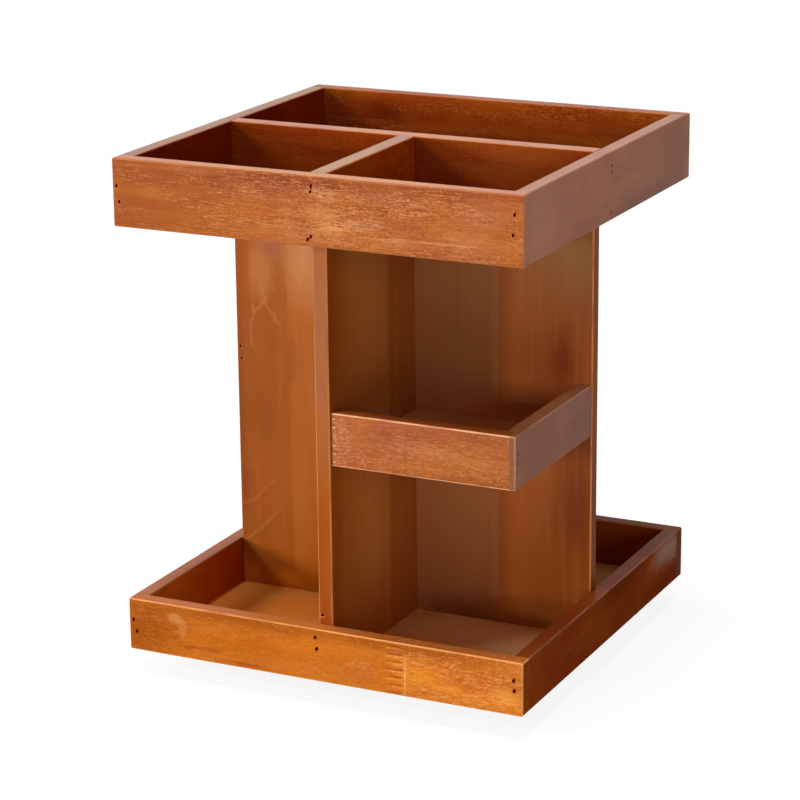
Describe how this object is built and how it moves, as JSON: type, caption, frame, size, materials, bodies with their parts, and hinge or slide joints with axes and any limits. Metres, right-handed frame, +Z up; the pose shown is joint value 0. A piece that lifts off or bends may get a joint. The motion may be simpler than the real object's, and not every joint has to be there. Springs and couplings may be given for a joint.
{
  "type": "rotating makeup organizer",
  "caption": "Square wooden make-up carousel with a divided top tray, a low bottom tray, crossed uprights and corner shelves, turning on a hidden ball bearing.",
  "frame": {"origin": "on the surface that the feet stand on, under the turning axis", "axes": "+Z up along the turning axis, -Y towards the front, +X to the right seen from the front"},
  "size_m": [0.3, 0.3, 0.368],
  "materials": {
    "tray_board": "red-brown stain under satin lacquer, fine open grain",
    "upright_panel": "dark red-brown stain under satin lacquer, glued from staves",
    "shelf_board": "red-brown stain under satin lacquer, fine open grain",
    "divider_board": "lighter brown stain under satin lacquer",
    "floor_panel": "thin stained plywood, satin",
    "base_panel": "stained fibreboard, satin",
    "foot_rubber": "matt black rubber",
    "bearing_plate": "zinc-plated pressed sheet",
    "bearing_ball": "polished steel",
    "ball_cage": "moulded off-white plastic",
    "screw_steel": "zinc-plated steel"
  },
  "bodies": {
    "base": {"base_board": "base_panel", "rubber_feet": "foot_rubber", "turntable_lower_plate": "bearing_plate", "turntable_balls": "bearing_ball", "turntable_ball_cage": "ball_cage", "lower_plate_screws": "screw_steel"},
    "carousel": {"turntable_upper_plate": "bearing_plate", "upper_plate_screws": "screw_steel", "bottom_front_board_long_length": "tray_board", "bottom_front_board_short_length": "tray_board", "bottom_back_board": "tray_board", "bottom_left_board": "tray_board", "bottom_right_board": "tray_board", "bottom_floor": "floor_panel", "cross_panel": "upright_panel", "front_upright": "upright_panel", "rear_upright": "upright_panel", "front_shelf_front_board": "shelf_board", "front_shelf_side_board": "shelf_board", "front_shelf_floor": "floor_panel", "rear_shelf_front_board": "shelf_board", "rear_shelf_side_board": "shelf_board", "rear_shelf_floor": "floor_panel", "top_front_board": "tray_board", "top_back_board": "tray_board", "top_left_board": "tray_board", "top_right_board": "tray_board", "top_floor": "floor_panel", "top_long_divider": "divider_board", "top_short_divider": "divider_board"}
  },
  "joints": [
    {"name": "carousel_spin", "type": "hinge", "parent": "base", "child": "carousel", "pos_m": [0, 0, 0.013], "axis": [0, 0, 1], "continuous": true}
  ]
}
